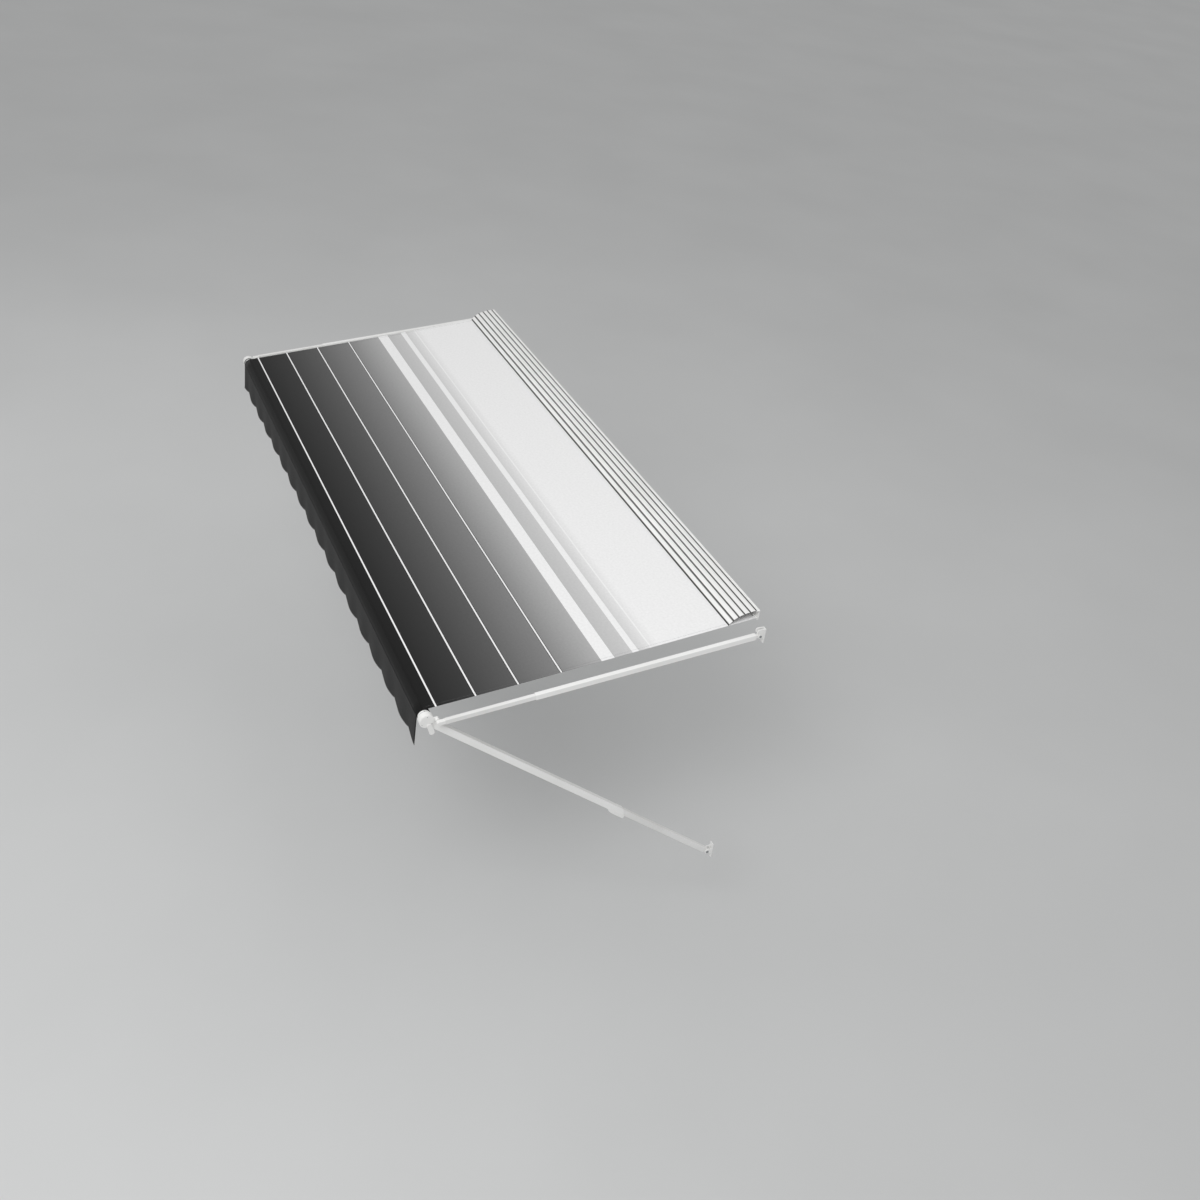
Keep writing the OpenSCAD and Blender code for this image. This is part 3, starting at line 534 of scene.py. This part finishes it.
def makeSpring(side):
    low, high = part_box(f"torsion_spring_{side}")
    wire, perTurn = coilFact["wire"], coilFact["perTurn"]
    radius = (high.z - low.z) / 2 - wire
    length = high.x - low.x - 2 * wire
    steps = int(length / coilFact["pitch"]) * perTurn
    path = []
    for k in range(steps + 1):
        turn = 2 * math.pi * k / perTurn
        path.append(Vector((low.x + wire + length * k / steps, rollerAxis.y + radius * math.cos(turn),
                            rollerAxis.z + radius * math.sin(turn))))
    piece = tubeAlong(f"torsionCoil_{side}", path, wire, coilFact["sides"], finishes["spring_steel"])
    dress(piece, "spring_steel", f"arm_upper_{side}", f"torsion_spring_{side}")


makeSpring("right")
makeSpring("left")
print("springs ready")

# Stitches: one node group sets a small stud of thread on each point of a row
stitchFact = {"pitch": 0.0084, "size": (0.005, 0.004, 0.004), "endGap": 0.01, "topDrop": 0.012,
              "topLift": 0.0016, "hemInset": 0.022, "hemLift": 0.0015, "hemStart": 0.008, "hemShare": 0.985}
studCorners = [(-0.5, -0.2, 0), (-0.3, 0.2, 0.1), (0.3, 0.2, 0.1), (0.5, -0.2, 0), (0, 0, 0.28)]
studFaces = [(0, 1, 4), (1, 2, 4), (2, 3, 4), (3, 0, 4), (3, 2, 1, 0)]


def stitchRow(name, places, turn, body, slotName):
    stud = meshPiece(name + "Stud", studCorners, studFaces, stitchThread, smooth=False)
    group = bpy.data.node_groups.new(name + "Row", "GeometryNodeTree")
    for label, kind, way in (("Geometry", "Geometry", "INPUT"), ("Length", "Vector", "INPUT"),
                             ("Turn", "Vector", "INPUT"), ("Geometry", "Geometry", "OUTPUT")):
        group.interface.new_socket(label, in_out=way, socket_type="NodeSocket" + kind)
    source = addNode(group, "NodeGroupInput")
    info = addNode(group, "GeometryNodeObjectInfo", {"Object": stud})
    placed = addNode(group, "GeometryNodeInstanceOnPoints",
                     links={"Points": source.outputs["Geometry"], "Instance": info.outputs["Geometry"],
                            "Rotation": source.outputs["Turn"], "Scale": source.outputs["Length"]})
    solid = addNode(group, "GeometryNodeRealizeInstances", links={"Geometry": placed.outputs["Instances"]})
    threaded = addNode(group, "GeometryNodeSetMaterial", {"Material": stitchThread},
                       {"Geometry": solid.outputs["Geometry"]})
    addNode(group, "NodeGroupOutput", links={"Geometry": threaded.outputs["Geometry"]})
    piece = meshPiece(name, places, [], stitchThread)
    row = piece.modifiers.new("row", "NODES")
    row.node_group = group
    sockets = {item.name: item.identifier for item in group.interface.items_tree if item.in_out == "INPUT"}
    row[sockets["Length"]] = stitchFact["size"]
    row[sockets["Turn"]] = turn
    bpy.context.view_layer.update()
    bakeModifiers(piece)
    bpy.data.objects.remove(stud)
    dress(piece, slotName, body)
    return piece


topCount = int(2 * (halfCloth - stitchFact["endGap"]) / stitchFact["pitch"])
topPlaces = [(-halfCloth + stitchFact["endGap"] + stitchFact["pitch"] * k,
              valanceHigh.y - stitchFact["topLift"], valanceHigh.z - stitchFact["topDrop"])
             for k in range(topCount)]
topStitch = stitchRow("valanceTopStitch", topPlaces, (math.radians(90), 0, 0), "valance_drop", "dark_cloth")

# Side hems of the canopy: the cloth's edge folded over and sewn down. The loop is the fold's
# cross-section, across from the edge and up
hemLoop = [(-0.028, 0.0013), (-0.0002, 0.0015), (0.0014, 0.0), (-0.0002, -0.0015), (-0.028, -0.0013),
           (-0.0284, 0.0)]
hemFact = {"inset": 0.0016, "start": 0.0062, "endShare": 0.999, "rows": 90}


def makeSideHem(name, side):
    count, rows, run = len(hemLoop), hemFact["rows"], canopyFact["run"]
    start = hemFact["start"] / run
    verts, flat, shares, faces = [], [], [], []
    for j in range(rows + 1):
        share = start + (hemFact["endShare"] - start) * j / rows
        for across, up in hemLoop:
            x = side * (halfCloth - hemFact["inset"] + across)
            verts.append(canopyPoint(x, share, up))
            flat.append((x, share * run, 0.0))
            shares.append(1 - share)
    for j in range(rows):
        for k in range(count):
            n = (k + 1) % count
            faces.append((j * count + k, j * count + n, (j + 1) * count + n, (j + 1) * count + k))
    faces.append(tuple(reversed(range(count))))
    faces.append(tuple(rows * count + k for k in range(count)))
    if side < 0:
        faces = [face[::-1] for face in faces]
    hem = meshPiece(f"canopyHem_{name}", verts, faces, finishes["striped_cloth"], smooth=False,
                    flat=flat, run=shares)
    dress(hem, "striped_cloth", "wall_rail")
    seam = side * (halfCloth - stitchFact["hemInset"])
    places = [canopyPoint(seam, stitchFact["hemStart"] + stitchFact["pitch"] * k / run, stitchFact["hemLift"])
              for k in range(int(stitchFact["hemShare"] * run / stitchFact["pitch"]))]
    thread = stitchRow(f"hemStitch_{name}", places, (0, 0, math.radians(90)), "wall_rail", "striped_cloth")
    return [hem, thread]


hemPieces = makeSideHem("right", 1) + makeSideHem("left", -1)
print("hems and stitches ready")

# The canopy and its hems get meshes of their own
for piece in [canopyCloth] + hemPieces:
    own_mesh(piece)


# Stage, light and camera
def areaLight(name, place, aim, size, power):
    data = bpy.data.lights.new(name, "AREA")
    data.size = size
    data.energy = power
    lamp = bpy.data.objects.new(name, data)
    lamp.location = place
    lamp.rotation_euler = (Vector(aim) - Vector(place)).to_track_quat("-Z", "Y").to_euler()
    scene.collection.objects.link(lamp)


stageFact = {"half": 60.0, "height": -3.0, "tones": ("#cdcece", "#d1d2d2"), "roomLight": 0.55,
             "distance": (0.350, 0.353, 0.353, 1)}


def plainStage():
    material, tree, shader, place = newMaterial("paleStagePaper")
    patches = addNode(tree, "ShaderNodeTexNoise", {"Scale": 0.4, "Detail": 3.0}, {"Vector": place})
    tone = addNode(tree, "ShaderNodeValToRGB", links={"Fac": patches.outputs["Fac"]},
                   stops=[(0.3, linearRgb(stageFact["tones"][0])), (0.7, linearRgb(stageFact["tones"][1]))])
    tree.links.new(tone.outputs["Color"], shader.inputs["Base Color"])
    shader.inputs["Roughness"].default_value = 0.9
    half, height = stageFact["half"], stageFact["height"]
    corners = [(-half, -half, height), (half, -half, height), (half, half, height), (-half, half, height)]
    meshPiece("stageFloor", corners, [(0, 1, 2, 3)], material, smooth=False)


# White light all round; what the eye and the metal see is the far floor's own grey, so that
# no horizon shows
def softRoom():
    world = bpy.data.worlds.new("softRoom")
    world.use_nodes = True
    tree = world.node_tree
    light = tree.nodes["Background"]
    light.inputs["Color"].default_value = (1, 1, 1, 1)
    light.inputs["Strength"].default_value = stageFact["roomLight"]
    seen = addNode(tree, "ShaderNodeBackground", {"Color": stageFact["distance"], "Strength": 1.0})
    rays = addNode(tree, "ShaderNodeLightPath").outputs
    direct = rays["Is Camera Ray"]
    for ray in ("Is Glossy Ray", "Is Transmission Ray"):
        direct = addNode(tree, "ShaderNodeMath", {"operation": "MAXIMUM"},
                         {0: direct, 1: rays[ray]}).outputs["Value"]
    both = addNode(tree, "ShaderNodeMixShader", links={0: direct, 1: light.outputs["Background"],
                                                       2: seen.outputs["Background"]})
    tree.links.new(both.outputs["Shader"], tree.nodes["World Output"].inputs["Surface"])
    scene.world = world


plainStage()
areaLight("keyLight", (7.5, -7.5, 8.0), (0, -1.2, -0.6), 5.0, 680)
areaLight("fillLight", (-7.5, -6.5, 6.0), (0, -1.0, -0.6), 7.0, 130)
areaLight("topLight", (0.0, 3.0, 8.0), (0, -1.0, -0.4), 8.0, 70)
softRoom()

# The camera that sees the part as the photograph does
cameraFact = {"right": (0.400385, 0.909322, 0.113249), "up": (-0.547405, 0.138236, 0.825371),
              "back": (0.734873, -0.392459, 0.553115), "place": (8.9543, -4.5967, 5.0452), "lens": 39.776}
cameraData = bpy.data.cameras.new("photoCamera")
cameraData.lens = cameraFact["lens"]
cameraData.sensor_width = 36
cameraData.clip_end = 200
camera = bpy.data.objects.new("photoCamera", cameraData)
axes = [Vector(cameraFact[key]) for key in ("right", "up", "back")]
turned = Matrix([[axis[row] for axis in axes] for row in range(3)]).to_4x4()
camera.matrix_world = Matrix.Translation(cameraFact["place"]) @ turned
scene.collection.objects.link(camera)
scene.camera = camera
scene.view_settings.view_transform = "Standard"
print("stage ready")
